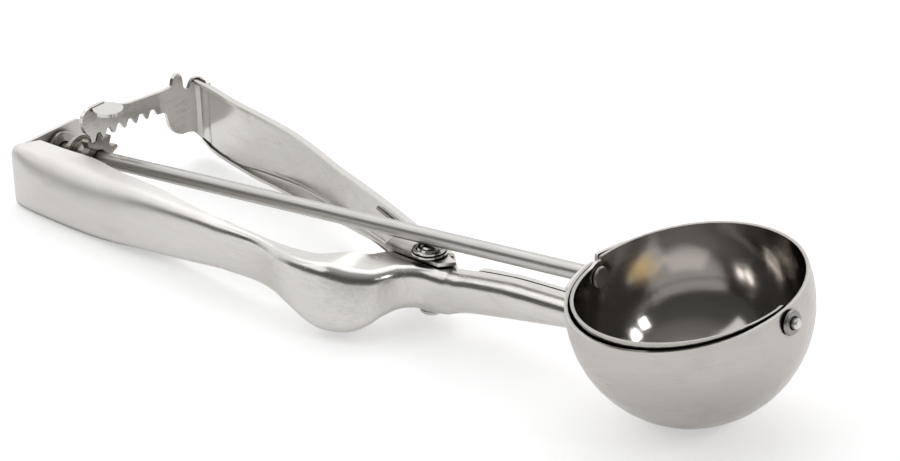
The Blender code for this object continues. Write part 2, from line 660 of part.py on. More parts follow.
def make_spring(frame, material):
    """A torsion spring round the rivet, as one unbroken tube: a leg on each handle and the coil."""
    at_main, swing = leg_angles(MAIN_LEG_END)
    start = at_main + swing
    at_trigger, swing = leg_angles(TRIGGER_LEG_END)
    finish = at_trigger - swing
    turn = (finish - start) % (2 * math.pi) + 2 * math.pi * SPRING_WHOLE_TURNS
    count = round(10 * turn / (2 * math.pi))
    rise = SPRING_PITCH * turn / (2 * math.pi)
    points = [Vector((*MAIN_LEG_END, -rise / 2))]
    for k in range(count + 1):
        angle = start + turn * k / count
        on_coil = COIL_MEAN_RADIUS * Vector((math.cos(angle), math.sin(angle)))
        points.append(Vector((*on_coil, rise * (k / count - 0.5))))
    points.append(Vector((*TRIGGER_LEG_END, rise / 2)))
    print(f"torsion_spring: least gap to itself {least_self_gap(points):.2f} mm")
    curve = bpy.data.curves.new("torsion_spring", "CURVE")
    curve.dimensions = "3D"
    path = curve.splines.new("POLY")
    path.points.add(len(points) - 1)
    for place, point in zip(path.points, points):
        place.co = (*(point * MM), 1)
    curve.bevel_depth = WIRE / 2 * MM
    curve.bevel_resolution = 1
    curve.use_fill_caps = True
    curve.materials.append(material)
    spring = bpy.data.objects.new("torsion_spring", curve)
    bpy.context.scene.collection.objects.link(spring)
    spring.parent = frame
    return spring


def least_self_gap(points):
    """The least space between two stretches of the wire that don't follow each other."""
    fine = []
    for a, b in zip(points, points[1:]):
        steps = max(2, int((b - a).length / 0.4))
        fine += [a.lerp(b, k / steps) for k in range(steps)]
    places = np.array(fine)
    along = np.concatenate([[0], np.cumsum(np.linalg.norm(np.diff(places, axis=0), axis=1))])
    gaps = np.linalg.norm(places[:, None] - places[None], axis=2) - WIRE
    return float(gaps[np.abs(along[:, None] - along[None]) > 6 * WIRE].min())


# The handles

def main_section(cuts, wrap, low, high, width, neck_width):
    """The folded sheet of the main handle. Wrap is 0 for an open channel and 1 for the rolled neck."""
    flat = [(width, high), (0, high), (0, low)]
    run = max(width - cuts[0], 0.6)
    open_end = [(width - 0.55 * run, low), (width - 0.25 * run, low), (width, low)]
    shut_end = [(neck_width, low), (neck_width, high), (NECK_SEAM + SEAM_WIDTH, high)]
    ends = [Vector(a).lerp(Vector(b), wrap) for a, b in zip(open_end, shut_end)]
    return folded(flat + ends, cuts, SHEET)


def share_of(place, span):
    """How far a place is through a span of (start, length), from 0 to 1."""
    return min(max((place - span[0]) / span[1], 0), 1)


def make_main_handle(frame, rod_frame, bowl_frame, material):
    """The pressed main handle: grip channel, finger hook, pivot ears, rolled neck and end wall."""
    steps = grip_steps, hook_steps, _ = 26, 18, 9
    spans = (len(GRIP_BACK) - 1, len(HOOK_BACK) + 2, len(NECK_BACK) - 2)
    back = smooth_curve(stretched(GRIP_BACK) + HOOK_BACK + NECK_BACK, list(zip(spans, steps)))
    ear = MAIN_EAR_REAR + [tuple(p) for p in arc((0, 0), EAR_RADIUS, *MAIN_EAR_ARC, 5)] + MAIN_EAR_FRONT
    lip = smooth_curve(stretched(GRIP_LIP), [(len(GRIP_LIP) - 1, grip_steps)])
    lip += smooth_curve([GRIP_LIP[-1]] + ear, [(2, hook_steps // 2), (len(ear) - 2, hook_steps // 2)])[1:]
    normals = inward_normals(back, 1)
    top = level(MAIN_TOP)
    bottom = level(MAIN_BOTTOM)
    corner = level(CORNER)
    stations = []
    for k, (outside, inward) in enumerate(zip(back, normals)):
        in_neck = k > grip_steps + hook_steps
        radius = corner(outside.x)
        free = outside + inward * NECK_SEAM if in_neck else lip[k]
        start = outside + inward * radius
        width = radius + (free - start).length
        if (free - outside).length < radius + 1:
            width = (free - outside).length
            radius = 0.7 * width
            start = outside + inward * radius
        high = top(outside.x)
        low = bottom(outside.x)
        taper = share_of(outside.x, NECK_TAPER)
        neck_width = NECK_ROOT_WIDTH + (NECK_TIP_WIDTH - NECK_ROOT_WIDTH) * taper
        rows = main_section((radius, radius, NECK_CORNER, NECK_CORNER), share_of(outside.x, NECK_ROLL),
                            low, high, width, neck_width)
        along = (free - start).normalized()
        placed = []
        for row in rows:
            plan = [outside + inward * p.x if p.x <= radius or in_neck else start + along * (p.x - radius)
                    for p in row]
            placed.append([Vector((q.x, q.y, p.y * ear_pinch(q, p.y, high, low)))
                           for p, q in zip(row, plan)])
        stations.append(tuple(placed))
    handle = mesh_object("main_handle", sheet_loft(stations), frame, material)
    add_end_wall(handle, frame)
    cut_pivot_bore(handle, "main_pivot_bore", frame)
    cut_bore(handle, "main_rod_bore", rod_frame, rod_place(end_wall_outside()), ROD_RADIUS)
    sphere = bmesh.new()
    bmesh.ops.create_uvsphere(sphere, u_segments=64, v_segments=40, radius=BOWL_RADIUS + GAP)
    seat = mesh_object("main_bowl_seat", sphere, bowl_frame)
    seat.location.z = -BOWL_CENTRE_DROP * MM
    join(handle, seat, "DIFFERENCE")
    return handle


def ear_pinch(point, height, high, low):
    """How much the flange comes in near the pivot, so that the ears are flat and fit in the trigger's."""
    if point.x > 0:
        return 1.0
    share = share_of(point.length, (EAR_FLAT_RADIUS, EAR_BLEND))
    share = share * share * (3 - 2 * share)
    limit = MAIN_EAR_TOP / (high if height > 0 else -low)
    return min(limit, 1) + (1 - min(limit, 1)) * share


def add_end_wall(handle, frame):
    """The end wall, square to the grip, with rounded free corners."""
    rear = end_wall_outside()
    low = level(MAIN_BOTTOM)(rear)
    high = level(MAIN_TOP)(rear)
    inset, drop = END_WALL_NEAR_CUT
    near = END_WALL_NEAR
    far = END_WALL_REACH - END_WALL_ROUND
    outline = [(near, low + drop), (near, high - drop), (near + inset, high), (far, high)]
    outline += [tuple(p) for p in arc((far, high - END_WALL_ROUND), END_WALL_ROUND, 75, 0, 4)]
    outline += [tuple(p) for p in arc((far, low + END_WALL_ROUND), END_WALL_ROUND, 0, -75, 4)]
    outline += [(far, low), (near + inset, low)]
    rows = [[(x, y, z) for y, z in outline] for x in (rear, rear + END_WALL_SHEET)]
    join(handle, mesh_object("main_end_wall", loft(rows), frame), "UNION", "MANIFOLD")


def make_trigger(frame, material):
    """The pressed trigger: back, two flanges widening to the pivot ears, and the rack at its rear."""
    grip_steps = 26
    portions = [(len(TRIGGER_BACK) - 1, grip_steps), (len(TRIGGER_EAR_BACK), sum(EAR_SPANS))]
    back = smooth_curve(stretched(TRIGGER_BACK) + TRIGGER_EAR_BACK, portions)
    top = smooth_curve(stretched(TOP_LIP), [(len(TOP_LIP) - 1, grip_steps)])
    top += ear_edge_points(top[-1], TOP_EAR_EDGE)
    bottom = smooth_curve(stretched(BOTTOM_LIP), [(len(BOTTOM_LIP) - 1, grip_steps)])
    bottom += ear_edge_points(bottom[-1], BOTTOM_EAR_EDGE)
    normals = inward_normals(back, -1)
    high_at = level(TRIGGER_TOP)
    low_at = level(TRIGGER_BOTTOM)
    stations = []
    for outside, inward, *edges in zip(back, normals, top, bottom):
        high, low = high_at(outside.x), low_at(outside.x)
        folds = [min(TRIGGER_FOLD, 0.7 * (edge - outside).length) for edge in edges]
        starts = [outside + inward * fold for fold in folds]
        reach = [fold + (edge - start).length for fold, edge, start in zip(folds, edges, starts)]
        rows = folded([(reach[0], high), (0, high), (0, low), (reach[1], low)], folds, SHEET)
        placed = []
        for row in rows:
            points = []
            for p in row:
                side = 0 if p.y > 0 else 1
                plan = outside + inward * p.x
                if p.x > folds[side]:
                    plan = starts[side] + (edges[side] - starts[side]).normalized() * (p.x - folds[side])
                points.append((plan.x, plan.y, p.y))
            placed.append(points)
        stations.append(tuple(placed))
    trigger = mesh_object("trigger_handle", sheet_loft(stations), frame, material)
    clear = TRIGGER_EAR_TOP - SHEET - WEB_CUT_INSET
    low_corner, high_corner = WEB_CUT
    cutter = box("trigger_web_cut", frame, (*low_corner, -clear), (*high_corner, clear))
    join(trigger, cutter, "DIFFERENCE")
    cut_pivot_bore(trigger, "trigger_pivot_bore", frame)
    join(trigger, mesh_object("trigger_rack", rack_shape(), frame), "UNION", "MANIFOLD")
    join(trigger, mesh_object("trigger_tab", tab_shape(), frame), "UNION", "MANIFOLD")
    return trigger


def ear_edge_points(start, edge):
    """An ear's free edge after its start, with a point on each of its corners."""
    points = []
    for a, b, count in zip([start] + edge, edge, EAR_SPANS):
        points += evenly([a, b], count)[1:]
    return points


def rack_path():
    """The middle of the rack's sheet in plan: the arc about the pivot, then on to the bend and round it."""
    start, end = (180 - math.degrees(place / RACK_RADIUS) for place in RACK_ARC)
    path = arc((0, 0), RACK_RADIUS, start, end, 31)
    flat_x = RACK_END_INSET - RACK_RADIUS
    bend_y = BEND_OUTSIDE - BEND_RADIUS
    path += [Vector((inset - RACK_RADIUS, y)) for inset, y in RACK_RUN] + [Vector((flat_x, bend_y))]
    path += arc((flat_x + BEND_RADIUS, bend_y), BEND_RADIUS, 180, BEND_ARC_END, 5)[1:]
    path.append(Vector((BEND_END[0] - RACK_RADIUS, BEND_END[1])))
    return path


def rack_shape():
    """The rack's strip: a column of points at each break of its outline, set on the path."""
    path = rack_path()
    lengths = [0.0]
    for a, b in zip(path, path[1:]):
        lengths.append(lengths[-1] + (b - a).length)
    zero = -RACK_ARC[0]
    normals = inward_normals(path, 1)
    columns = []
    for place, low, high in rack_columns(lengths[-1] - zero):
        s = place + zero
        x, y = (float(np.interp(s, lengths, [p[i] for p in path])) for i in (0, 1))
        n = Vector([float(np.interp(s, lengths, [v[i] for v in normals])) for i in (0, 1)]).normalized()
        half = n * RACK_SHEET / 2
        columns.append([(x + half.x, y + half.y, low), (x + half.x, y + half.y, high),
                        (x - half.x, y - half.y, high), (x - half.x, y - half.y, low)])
    return loft(columns)


def rack_columns(end):
    """(place, bottom, top) at each break of the rack's outline, up to its end."""
    pitch_line = rod_height(-RACK_RADIUS) + pinion_pitch_radius()
    tip = pitch_line - TOOTH_TIP_HEIGHT
    valley = pitch_line + TOOTH_ROOT_DEPTH
    spread = math.tan(math.radians(RACK_FLANK_ANGLE))
    at_tip = RACK_TOOTH_HALF_WIDTH - TOOTH_TIP_HEIGHT * spread
    at_valley = RACK_TOOTH_HALF_WIDTH + TOOTH_ROOT_DEPTH * spread
    teeth = []
    for k in range(RACK_TEETH):
        middle = RACK_FIRST_SPACE + RACK_PITCH * (k - 0.5)
        teeth += [(middle - at_valley, valley), (middle - at_tip, tip), (middle + at_tip, tip),
                  (middle + at_valley, valley)]
    # The first tooth has the head on its left, and the last one runs on to the lobe
    bottoms = HEAD_LEFT + [(HEAD_LEFT[-1][0] + 0.5, tip)] + teeth[2:-1] + LOBE + [(end, LOBE_END)]
    tops = HEAD_CREST + [(RACK_LEVEL_START, RACK_TOP), (NUB[0][0] - CHAMFER, RACK_TOP)]
    tops += NUB + NOTCH + [(end, BEND_TOP)]
    places = sorted({round(place, 4) for place, _ in bottoms + tops})
    low = np.interp(places, *zip(*bottoms))
    high = np.interp(places, *zip(*tops))
    return list(zip(places, low, high))


def tab_shape():
    """The round tab folded forward off the head of the rack."""
    high = HEAD_TOP - TAB_DROP
    edge = arc((TAB_CENTRE[0] - RACK_RADIUS, TAB_CENTRE[1]), TAB_RADIUS, -TAB_ARC, TAB_ARC, 16)
    rear = -RACK_RADIUS - TAB_ROOT_INSET
    root = [Vector((rear, edge[-1].y - TAB_ROOT_TAPER)), Vector((rear, edge[0].y + TAB_ROOT_TAPER))]
    return loft([[(p.x, p.y, z) for p in edge + root] for z in (high - SHEET, high)])


def main():
    clear_scene()
    satin = steel("satin steel", (0.66, 0.64, 0.62), 0.34)
    polished = steel("polished steel", (0.62, 0.6, 0.57), 0.16)
    plain = steel("plain steel", (0.58, 0.57, 0.56), 0.28)
    handles = empty("handle_frame", None, (0, 0, -FOOT_BOTTOM))
    rod = empty("rod_frame", handles, (0, 0, ROD_HEIGHT_AT_PIVOT), (0, -ROD_TILT, 0))
    bowl = empty("bowl_frame", rod, (BOWL_ON_ROD, 0, 0), (BOWL_ROLL, 0, 0))
    make_bowl(bowl, rod, polished)
    make_bracket(bowl, rod, satin)
    make_scraper(rod, polished)
    make_far_pin(rod, plain)
    make_far_ring(rod, plain)
    make_rod(rod, satin)
    make_pinion(rod, plain)
    make_sleeve(rod, plain)
    make_bush(handles, rod, plain)
    make_rivet(handles, plain)
    make_washer(handles, plain)
    make_spring(handles, plain)
    make_main_handle(handles, rod, bowl, satin)
    make_trigger(handles, satin)


main()
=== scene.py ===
"""The trigger ice cream scoop, dressed for the photograph's view.

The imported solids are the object. This script gives each of them a procedural stainless finish with its
own grain. It draws the main handle again with its folds as photographed, and the scraper again as it is
parked there, and adds a plain pale floor, a soft studio and the camera.
"""
import math

import bmesh
import bpy
import numpy as np
from mathutils import Matrix, Vector


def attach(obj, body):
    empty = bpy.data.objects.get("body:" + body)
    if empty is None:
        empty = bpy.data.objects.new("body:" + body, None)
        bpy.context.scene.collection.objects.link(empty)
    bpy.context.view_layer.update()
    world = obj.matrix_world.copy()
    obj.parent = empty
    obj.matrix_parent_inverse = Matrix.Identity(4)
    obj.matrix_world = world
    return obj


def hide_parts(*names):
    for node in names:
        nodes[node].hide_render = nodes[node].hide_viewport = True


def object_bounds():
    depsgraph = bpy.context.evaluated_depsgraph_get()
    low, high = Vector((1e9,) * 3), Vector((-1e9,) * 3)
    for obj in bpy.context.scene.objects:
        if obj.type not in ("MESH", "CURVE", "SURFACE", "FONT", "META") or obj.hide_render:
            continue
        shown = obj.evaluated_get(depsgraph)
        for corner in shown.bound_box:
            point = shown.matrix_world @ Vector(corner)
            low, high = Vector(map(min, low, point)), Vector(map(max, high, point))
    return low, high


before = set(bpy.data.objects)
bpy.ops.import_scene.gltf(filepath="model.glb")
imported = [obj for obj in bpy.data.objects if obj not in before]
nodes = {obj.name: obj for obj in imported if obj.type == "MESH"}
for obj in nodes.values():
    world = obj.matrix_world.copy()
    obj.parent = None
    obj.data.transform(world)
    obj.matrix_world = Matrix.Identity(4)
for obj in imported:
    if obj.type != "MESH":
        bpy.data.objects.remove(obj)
cad_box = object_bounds()

# The pivot's place over the frame's origin: lengths are in metres unless a comment says millimetres
PIVOT_HEIGHT = 0.0082
# The drive rod: its slope, its height over the pivot, and the bowl's place and roll on it
ROD_TILT = math.radians(5.42)
ROD_HEIGHT = 0.01125
BOWL_ON_ROD = 0.07688
BOWL_ROLL = math.radians(8.12)
BOWL_CENTRE_DROP = 0.00119

ROD_AXIS = Vector((math.cos(ROD_TILT), 0, math.sin(ROD_TILT)))
ROD_UP = Vector((-math.sin(ROD_TILT), 0, math.cos(ROD_TILT)))
ROD_START = Vector((0, 0, PIVOT_HEIGHT + ROD_HEIGHT))
SIDE = Vector((0, 1, 0))
BOWL_UP = math.cos(BOWL_ROLL) * ROD_UP - math.sin(BOWL_ROLL) * SIDE
BOWL_CENTRE = ROD_START + BOWL_ON_ROD * ROD_AXIS - BOWL_CENTRE_DROP * BOWL_UP
# Behind this X, the trigger's sheet is the rack and stands square to the handles
RACK_FRONT = -0.1062
# How far the parked scraper is turned down into the bowl from the CAD node's rest
SCRAPER_PARK = math.radians(5.4)


def link(item):
    bpy.context.scene.collection.objects.link(item)
    return item


# Materials

# How often the grain changes per metre, along the brushing and across it
SHEET_GRAIN = (45, 1900, 2300)
RACK_GRAIN = (2300, 50, 1900)
RING_GRAIN = (2600, 2600, 40)
ROD_GRAIN = (60, 3200, 3200)
TURNED_GRAIN = (3600, 300)
# How often the other marks change per metre
CLOUDS = 42.0
PORES = 900.0
SMEARS = (70, 160, 160)
SCRATCHES = (260, 900, 600)
# Heights of the uneven sheet and of its fine marks
UNEVEN_HEIGHT = 0.00045
MARK_HEIGHT = 0.000012
# Where surfaces are this close to each other, they darken with painted shade
CREVICE_SHADE_REACH = 0.003
CREVICE_SHADE_TINT = (0.16, 0.145, 0.13)
# A full stain leaves this share of the red, green and blue
STAIN = (0.86, 0.83, 0.78)
# The bowl is polished inside this distance from its centre, and satin beyond the second one
POLISHED_UP_TO = (0.0275, 0.0277)
# The polished inside's tint is darkened to this share, as painted shade inside the bowl
POLISHED_SHADE_SHARE = 0.86
# The painted warm reflection near the rod, on the inside and the outside of the bowl and the edge of its
# bracket: its middle, how far from there it starts to fade and ends, and its colour
WARM_REFLECTION_SPOT = (0.0527, 0.0125, 0.0214)
WARM_REFLECTION_REACH = (0.001, 0.0052)
WARM_REFLECTION_TINT = (0.86, 0.64, 0.3)
# The main handle is duller and paler behind the first X, and as bright as the rest from the second on
DULL_FADE = (-0.09, -0.045)
DULL_TINT = (0.87, 0.85, 0.83)
# The tints of brushed and of polished steel
SATIN = (0.735, 0.715, 0.69)
MIRROR = (0.58, 0.555, 0.53)
# Edges sharper than this are broken by a small round, and the facets of the rest are shaded smoothly
SHARP_ANGLE = math.radians(33)
EDGE_RADIUS = 0.00012
WELD_DISTANCE = 2e-6


class Tree:
    """A material's node tree, with short calls for the nodes used here."""

    def __init__(self, name):
        self.material = bpy.data.materials.new(name)
        self.material.use_nodes = True
        self.nodes = self.material.node_tree.nodes
        self.links = self.material.node_tree.links
        self.shader = self.nodes["Principled BSDF"]
        self.place = self.node("ShaderNodeTexCoord").outputs["Object"]

    def node(self, kind, **settings):
        made = self.nodes.new(kind)
        for key, value in settings.items():
            setattr(made, key, value)
        return made

    def put(self, socket, value):
        if isinstance(value, bpy.types.NodeSocket):
            self.links.new(value, socket)
        else:
            socket.default_value = value

    def math(self, operation, a, b=0.0, clamp=False):
        made = self.node("ShaderNodeMath", operation=operation, use_clamp=clamp)
        for socket, value in zip(made.inputs, (a, b)):
            self.put(socket, value)
        return made.outputs[0]

    def vector(self, operation, a, b=(0, 0, 0)):
        made = self.node("ShaderNodeVectorMath", operation=operation)
        self.put(made.inputs[0], a)
        self.put(made.inputs[1], b)
        return made.outputs["Value" if operation in ("DOT_PRODUCT", "LENGTH") else "Vector"]

    def combine(self, x, y, z=0.0):
        made = self.node("ShaderNodeCombineXYZ")
        for socket, value in zip(made.inputs, (x, y, z)):
            self.put(socket, value)
        return made.outputs[0]

    def noise(self, vector, scale, detail, rough):
        made = self.node("ShaderNodeTexNoise", noise_dimensions="3D")
        self.put(made.inputs["Vector"], vector)
        made.inputs["Scale"].default_value = scale
        made.inputs["Detail"].default_value = detail
        made.inputs["Roughness"].default_value = rough
        return made.outputs["Fac"]

    def spread(self, value, low, high, to_low=0.0, to_high=1.0):
        made = self.node("ShaderNodeMapRange", clamp=True)
        for socket, number in zip(made.inputs[:5], (value, low, high, to_low, to_high)):
            self.put(socket, number)
        return made.outputs[0]

    def mix(self, factor, a, b):
        made = self.node("ShaderNodeMix", data_type="RGBA")
        self.put(made.inputs["Factor"], factor)
        self.put(made.inputs["A"], (*a, 1) if isinstance(a, tuple) else a)
        self.put(made.inputs["B"], (*b, 1) if isinstance(b, tuple) else b)
        return made.outputs["Result"]

    def mix_vectors(self, factor, a, b):
        made = self.node("ShaderNodeMix", data_type="VECTOR")
        self.put(made.inputs["Factor"], factor)
        self.put(made.inputs[4], a)
        self.put(made.inputs[5], b)
        return made.outputs[1]

    def bump(self, height, distance, normal=None):
        made = self.node("ShaderNodeBump")
        made.inputs["Strength"].default_value = 1.0
        made.inputs["Distance"].default_value = distance
        self.put(made.inputs["Height"], height)
        if normal is not None:
            self.put(made.inputs["Normal"], normal)
        return made.outputs["Normal"]


def grain_place(tree, kind):
    """The coordinates that the grain is drawn in: long along the brushing and fine across it."""
    def along(direction):
        return tree.vector("DOT_PRODUCT", off, tuple(direction))

    if kind in ("along", "trigger"):
        sheet = tree.vector("MULTIPLY", tree.place, SHEET_GRAIN)
        if kind == "along":
            return sheet
        on_rack = tree.math("LESS_THAN", tree.vector("DOT_PRODUCT", tree.place, (1, 0, 0)), RACK_FRONT)
        return tree.mix_vectors(on_rack, sheet, tree.vector("MULTIPLY", tree.place, RACK_GRAIN))
    off = tree.vector("SUBTRACT", tree.place, tuple(BOWL_CENTRE if kind == "rings" else ROD_START))
    if kind == "rings":
        axes, grain = (along(BOWL_UP), tree.vector("LENGTH", off), along(ROD_AXIS)), RING_GRAIN
    elif kind == "rod":
        axes, grain = (along(ROD_AXIS), along(ROD_UP), along(SIDE)), ROD_GRAIN
    else:
        axes, grain = (along(ROD_AXIS), tree.vector("LENGTH", off)), TURNED_GRAIN
    return tree.combine(*(tree.math("MULTIPLY", axis, often) for axis, often in zip(axes, grain)))


def inside_bowl(tree):
    """1 on the bowl's polished inside and 0 on its satin outside."""
    from_centre = tree.vector("LENGTH", tree.vector("SUBTRACT", tree.place, tuple(BOWL_CENTRE)))
    return tree.spread(from_centre, *POLISHED_UP_TO, 1.0, 0.0)


def metal(name, tint, rough, kind, grain, uneven, stain, scratched=1.0, dull_rear=0.0):
    """Stainless steel: brushed grain, uneven sheet, handling marks, stains and painted shade in crevices.

    The kind is the grain's way: along, trigger, rings, rod or turned. Rings is the finish of the bowl and
    what lies on it, polished inside with its tint darkened there as painted shade, and with a painted warm
    reflection near the rod. dull_rear is how much rougher the handle is at its rear.
    """
    tree = Tree(name)
    shader = tree.shader
    lines = tree.noise(grain_place(tree, kind), 1.0, 5.0, 0.6)
    cloud = tree.noise(tree.place, CLOUDS, 3.0, 0.5)
    smear = tree.noise(tree.vector("MULTIPLY", tree.place, SMEARS), 1.0, 5.0, 0.65)
    fine = tree.noise(tree.place, PORES, 2.0, 0.5)
    scratch_place = tree.vector("MULTIPLY", tree.place, SCRATCHES)
    scratch = tree.spread(tree.math("ABSOLUTE", tree.math(
        "SUBTRACT", tree.noise(scratch_place, 1.0, 2.0, 0.4), 0.5)), 0.0, 0.006, 1.0, 0.0)
    scratch = tree.math("MULTIPLY", scratch, tree.spread(smear, 0.5, 0.62, 0.0, scratched))
    # Painted shade: where surfaces are close, the tint darkens towards the crevice shade tint
    crevice_shade = tree.node("ShaderNodeAmbientOcclusion", samples=6)
    crevice_shade.inputs["Distance"].default_value = CREVICE_SHADE_REACH
    open_share = tree.spread(crevice_shade.outputs["AO"], 0.25, 0.85)
    stained = tree.math("MULTIPLY", tree.spread(smear, 0.48, 0.72), stain)
    clean = tree.mix(stained, tint, tuple(c * k for c, k in zip(tint, STAIN)))
    in_lines = tree.spread(lines, 0.3, 0.7, 0.0, 0.22 * grain)
    grained = tree.mix(in_lines, clean, tuple(0.62 * c for c in tint))
    if kind == "rings":
        polished = inside_bowl(tree)
        # Painted shade: the tint is darker on the polished inside of the bowl
        grained = tree.mix(polished, grained, tuple(POLISHED_SHADE_SHARE * c for c in tint))
        # Painted reflection: a warm tint in the base colour near the rod
        from_warm_reflection = tree.vector("LENGTH", tree.vector("SUBTRACT", tree.place, WARM_REFLECTION_SPOT))
        grained = tree.mix(tree.spread(from_warm_reflection, *WARM_REFLECTION_REACH, 0.8, 0.0), grained, WARM_REFLECTION_TINT)
    if dull_rear:
        along_x = tree.vector("DOT_PRODUCT", tree.place, (1, 0, 0))
        at_rear = tree.spread(along_x, *DULL_FADE, 1.0, 0.0)
        grained = tree.mix(tree.math("MULTIPLY", at_rear, 0.7), grained, DULL_TINT)
    tree.put(shader.inputs["Base Color"], tree.mix(open_share, CREVICE_SHADE_TINT, grained))
    shader.inputs["Metallic"].default_value = 1.0
    shader.inputs["IOR"].default_value = 1.5
    roughness = rough
    for noise, weight in ((lines, 0.3 * grain), (cloud, 0.16)):
        change = tree.math("MULTIPLY", tree.math("SUBTRACT", noise, 0.5), weight)
        roughness = tree.math("ADD", roughness, change)
    roughness = tree.math("ADD", roughness, tree.math("MULTIPLY", scratch, 0.12))
    roughness = tree.math("ADD", roughness, tree.math("MULTIPLY", stained, 0.14), clamp=True)
    if kind == "rings":
        roughness = tree.math("MULTIPLY", roughness, tree.spread(polished, 0, 1, 1.0, 0.5))
    if dull_rear:
        roughness = tree.math("ADD", roughness, tree.math("MULTIPLY", at_rear, dull_rear))
    tree.put(shader.inputs["Roughness"], tree.math("MAXIMUM", roughness, 0.06))
    normal = tree.bump(cloud, UNEVEN_HEIGHT * uneven)
    marks = tree.math("ADD", lines, tree.math("MULTIPLY", fine, 0.3))
    normal = tree.bump(marks, MARK_HEIGHT * grain, normal)
    normal = tree.bump(scratch, -MARK_HEIGHT, normal)
    tree.put(shader.inputs["Normal"], normal)
    return tree.material


def smoothing():
    """A geometry node tree that joins a solid's facets and shades them smoothly up to its sharp edges."""
    group = bpy.data.node_groups.new("smooth sheet", "GeometryNodeTree")
    for way in ("INPUT", "OUTPUT"):
        group.interface.new_socket("Geometry", in_out=way, socket_type="NodeSocketGeometry")
    new, link_up = group.nodes.new, group.links.new
    start, end = new("NodeGroupInput"), new("NodeGroupOutput")
    weld = new("GeometryNodeMergeByDistance")
    weld.inputs["Distance"].default_value = WELD_DISTANCE
    plain = new("GeometryNodeRemoveAttribute")
    plain.inputs["Name"].default_value = "custom_normal"
    smooth = new("GeometryNodeSetShadeSmooth")
    angle = new("GeometryNodeInputMeshEdgeAngle")
    is_sharp = new("FunctionNodeCompare")
    is_sharp.operation = "GREATER_THAN"
    is_sharp.inputs["B"].default_value = SHARP_ANGLE
    sharp = new("GeometryNodeSetShadeSmooth")
    sharp.domain = "EDGE"
    sharp.inputs["Shade Smooth"].default_value = False
    link_up(angle.outputs["Unsigned Angle"], is_sharp.inputs["A"])
    link_up(is_sharp.outputs[0], sharp.inputs["Selection"])
    chain = [start, plain, weld, smooth, sharp, end]
    for a, b in zip(chain, chain[1:]):
        link_up(a.outputs[0], b.inputs[0])
    return group


def dress(material, *pieces):
    """Gives CAD nodes, by name, or own pieces a finish, smooth shading and slightly broken edges."""
    for piece in pieces:
        node = nodes[piece] if isinstance(piece, str) else piece
        node.data.materials.clear()
        node.data.materials.append(material)
        node.modifiers.new("smooth sheet", "NODES").node_group = SMOOTH
        soften = node.modifiers.new("broken edges", "BEVEL")
        soften.limit_method = "ANGLE"
        soften.angle_limit = SHARP_ANGLE
        soften.width = EDGE_RADIUS
        soften.segments = 2
        soften.harden_normals = False


# The pressed main handle, in millimetres about the pivot: the outside of its back along the lower fold,
# and the free edge of its flanges
SHEET = 0.9
MAIN_EAR_TOP = 5.7
GRIP_BACK = [
    (-124.3, -9.6), (-126.0, -11.2), (-126.35, -13.2), (-124.1, -15.1), (-117.5, -16.7), (-110, -17.5),
    (-102, -17.9), (-90, -18.1), (-78, -17.8), (-66, -17.6), (-54, -17.2), (-43, -17.2),
    (-36.5, -18.4), (-28, -21.6), (-20, -23.8), (-14, -23.6),
]
HOOK_BACK = [(-9, -21.6), (-6, -19.2), (-3.7, -16.4), (-2.6, -13.4), (-1.9, -10.6), (-0.8, -8.3),
             (1.2, -6.6)]
NECK_BACK = [(4, -5.6), (9, -5.0), (16, -4.7), (30, -4.6), (56, -4.5)]
GRIP_LIP = [
    (-123.6, -7.6), (-113, -7.6), (-103, -7.2), (-94, -8.7), (-83, -10), (-71.5, -12),
    (-61, -13.6), (-45, -14.4), (-33, -15.6), (-25, -16), (-20, -15.2), (-14.3, -10.5),
]
MAIN_TOP = [(-124, 5.3), (-100, 5.3), (-90, 5.7), (-80, 6.1), (-70, 6.1), (-60, 6), (-50, 5.7),
            (-35, 6), (-25, 6.8), (-15, 7.4), (-7, 6.3), (0, 5.7), (10, 5.7), (15, 6.5), (22, 7.5),
            (30, 8.3), (56, 9.5)]
MAIN_BOTTOM = [(-124, -10.6), (-100, -10.7), (-90, -10.2), (-80, -9.1), (-70, -8.2), (-60, -7.2),
               (-50, -6.3), (-43, -5.9), (-36.5, -5.5), (-32, -5.3), (-28, -5.6), (-22.5, -6.7),
               (-17, -8.3), (-11.5, -8.7), (-7, -8.4), (-3.6, -6.7), (-2, -5.4), (0, -5.3), (6, -5.6),
               (14.5, -3.4), (24, -1.6), (41.6, 1.5), (56, 4.2)]
# How far the upper fold stands in from the lower one, where the finger rest flares out
TOP_INSET = [(-130, 0), (-60, 0), (-36, 0), (-28, 0.6), (-22, 1.8), (-17, 2.6), (-11.5, 3.0), (-7, 2.9),
             (-3.6, 2.2), (-2, 1.0), (0, 0.2), (4, 0), (60, 0)]
# How far each fold's round reaches: the upper one is wide at the rear and tight over the finger rest
TOP_CORNER = [(-130, 2.0), (-124, 3.2), (-118, 5.4), (-110, 6.8), (-98, 7.2), (-88, 6.4), (-78, 5.0),
              (-68, 3.8), (-56, 3.1), (-40, 3), (-4, 3), (6, 4.2), (16, 5.2), (60, 5.6)]
BOTTOM_CORNER = [(-128, 1.3), (-122, 1.6), (-114, 2.7), (-106, 3), (-90, 3), (60, 3)]
# The round at the flanges' bent free ends, in the neck
SEAM_CORNER = 2.3
# How much of the side before and after it each fold's round may take, from the upper fold on
SHARE_BEFORE = (0.8, 0.38, 0.45, 0.45)
SHARE_AFTER = (0.6, 0.45, 0.45, 0.8)
# The ears: the plan line of their free edge, and how far from the pivot they stay flat and then widen
EAR_START = [(-12.3, -7), (-10.4, -3.6)]
EAR_RADIUS = 6.0
EAR_ARC = (158, 40)
EAR_END = [(6.8, 1.6), (9, -0.2)]
EAR_SPAN = (12.6, 4.5)
# The neck: the seam's place across it, its width and how it narrows, and where the channel closes
NECK_SEAM = 5.0
NECK_WIDTH = 8.9
NECK_NARROWS = 1.3
NECK_SPAN = (12, 36)
NECK_CLOSES = (9, 5.5)
